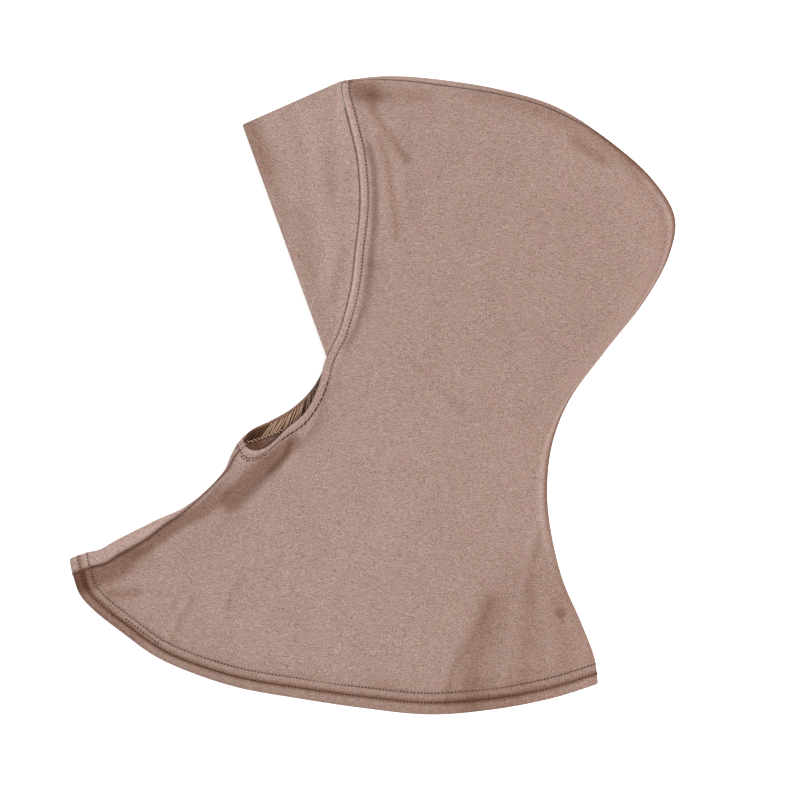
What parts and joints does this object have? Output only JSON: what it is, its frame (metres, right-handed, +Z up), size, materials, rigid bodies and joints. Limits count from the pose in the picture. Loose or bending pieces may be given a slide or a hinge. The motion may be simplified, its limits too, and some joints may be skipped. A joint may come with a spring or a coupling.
{
  "type": "hijab underscarf cap",
  "caption": "Soft jersey under-hood lying flat on its side, open at the face and the bottom hem, with a bound face edge and a small folded brow band.",
  "frame": {"origin": "bottom centre of the cap's bounding box, on the surface that it lies on", "axes": "+Y towards the crown of the head, -X towards the face opening, +Z up from the surface, out of the wearer's left side"},
  "size_m": [0.3624, 0.3806, 0.0204],
  "materials": {
    "jersey": "matte melange jersey, dusty taupe",
    "hem": "matte doubled jersey, twin-needle stitched",
    "binding": "matte turned jersey edge, stitched",
    "band": "matte doubled jersey with a fine diagonal grain"
  },
  "bodies": {
    "root": {"left_panel": "jersey", "right_panel": "jersey", "bottom_hem": "hem", "face_binding": "binding", "brow_band": "band"}
  },
  "joints": []
}
